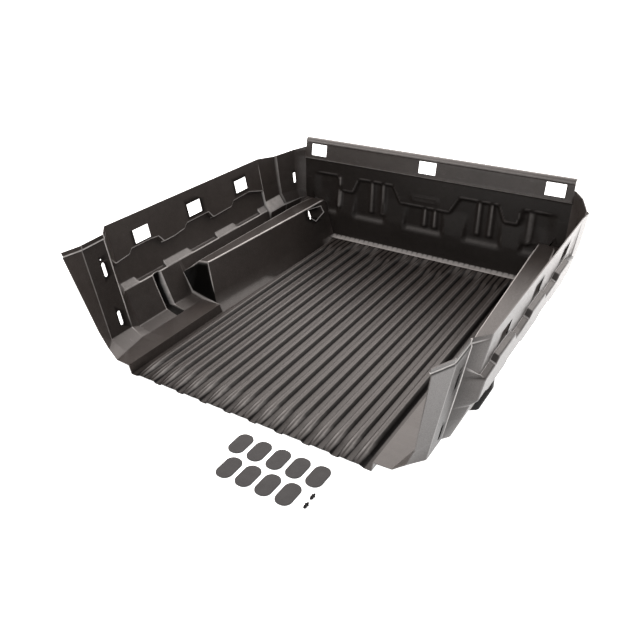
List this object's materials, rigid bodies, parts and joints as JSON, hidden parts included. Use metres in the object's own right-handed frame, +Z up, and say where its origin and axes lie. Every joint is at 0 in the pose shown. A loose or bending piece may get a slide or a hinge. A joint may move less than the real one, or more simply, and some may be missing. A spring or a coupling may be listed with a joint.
{
  "type": "truck bed liner",
  "caption": "Under-rail vacuum-formed liner for a pickup cargo bed, with ribbed floor, moulded wheel covers, side and front openings, and a loose kit of opening covers and push-in retainers",
  "frame": {"origin": "on the ground, under the middle of the bounding box of the liner and its loose kit", "axes": "+X to the right of the cargo bed, +Y towards the cab, +Z up; the tailgate end and the loose kit are on the -Y side"},
  "size_m": [1.754, 1.9906, 0.568],
  "materials": {
    "liner_plastic": "near-black polyethylene with a fine haircell grain and a low sheen",
    "cover_foam": "matt dark grey, fine-pored closed-cell pad",
    "adhesive_backing": "thin waxy release film over adhesive",
    "retainer_plastic": "smooth black moulded plastic"
  },
  "bodies": {
    "tray": {"liner_shell": "liner_plastic"},
    "cover_1": {"opening_cover_1": "cover_foam", "cover_backing_1": "adhesive_backing"},
    "cover_2": {"opening_cover_2": "cover_foam", "cover_backing_2": "adhesive_backing"},
    "cover_3": {"opening_cover_3": "cover_foam", "cover_backing_3": "adhesive_backing"},
    "cover_4": {"opening_cover_4": "cover_foam", "cover_backing_4": "adhesive_backing"},
    "cover_5": {"opening_cover_5": "cover_foam", "cover_backing_5": "adhesive_backing"},
    "cover_6": {"opening_cover_6": "cover_foam", "cover_backing_6": "adhesive_backing"},
    "cover_7": {"opening_cover_7": "cover_foam", "cover_backing_7": "adhesive_backing"},
    "cover_8": {"opening_cover_8": "cover_foam", "cover_backing_8": "adhesive_backing"},
    "cover_9": {"opening_cover_9": "cover_foam", "cover_backing_9": "adhesive_backing"},
    "retainer_1": {"retainer_body_1": "retainer_plastic"},
    "pin_1": {"retainer_pin_1": "retainer_plastic"},
    "retainer_2": {"retainer_body_2": "retainer_plastic"},
    "pin_2": {"retainer_pin_2": "retainer_plastic"}
  },
  "joints": [
    {"name": "cover_lift_1", "type": "slide", "parent": "tray", "child": "cover_1", "axis": [0, 0, 1], "range_m": [0, 0.15]},
    {"name": "cover_lift_2", "type": "slide", "parent": "tray", "child": "cover_2", "axis": [0, 0, 1], "range_m": [0, 0.15]},
    {"name": "cover_lift_3", "type": "slide", "parent": "tray", "child": "cover_3", "axis": [0, 0, 1], "range_m": [0, 0.15]},
    {"name": "cover_lift_4", "type": "slide", "parent": "tray", "child": "cover_4", "axis": [0, 0, 1], "range_m": [0, 0.15]},
    {"name": "cover_lift_5", "type": "slide", "parent": "tray", "child": "cover_5", "axis": [0, 0, 1], "range_m": [0, 0.15]},
    {"name": "cover_lift_6", "type": "slide", "parent": "tray", "child": "cover_6", "axis": [0, 0, 1], "range_m": [0, 0.15]},
    {"name": "cover_lift_7", "type": "slide", "parent": "tray", "child": "cover_7", "axis": [0, 0, 1], "range_m": [0, 0.15]},
    {"name": "cover_lift_8", "type": "slide", "parent": "tray", "child": "cover_8", "axis": [0, 0, 1], "range_m": [0, 0.15]},
    {"name": "cover_lift_9", "type": "slide", "parent": "tray", "child": "cover_9", "axis": [0, 0, 1], "range_m": [0, 0.15]},
    {"name": "retainer_lift_1", "type": "slide", "parent": "tray", "child": "retainer_1", "axis": [0, 0, 1], "range_m": [0, 0.1]},
    {"name": "pin_push_1", "type": "slide", "parent": "retainer_1", "child": "pin_1", "axis": [0, 1, 0], "range_m": [-0.006, 0]},
    {"name": "retainer_lift_2", "type": "slide", "parent": "tray", "child": "retainer_2", "axis": [0, 0, 1], "range_m": [0, 0.1]},
    {"name": "pin_push_2", "type": "slide", "parent": "retainer_2", "child": "pin_2", "axis": [0, 1, 0], "range_m": [-0.006, 0]}
  ]
}
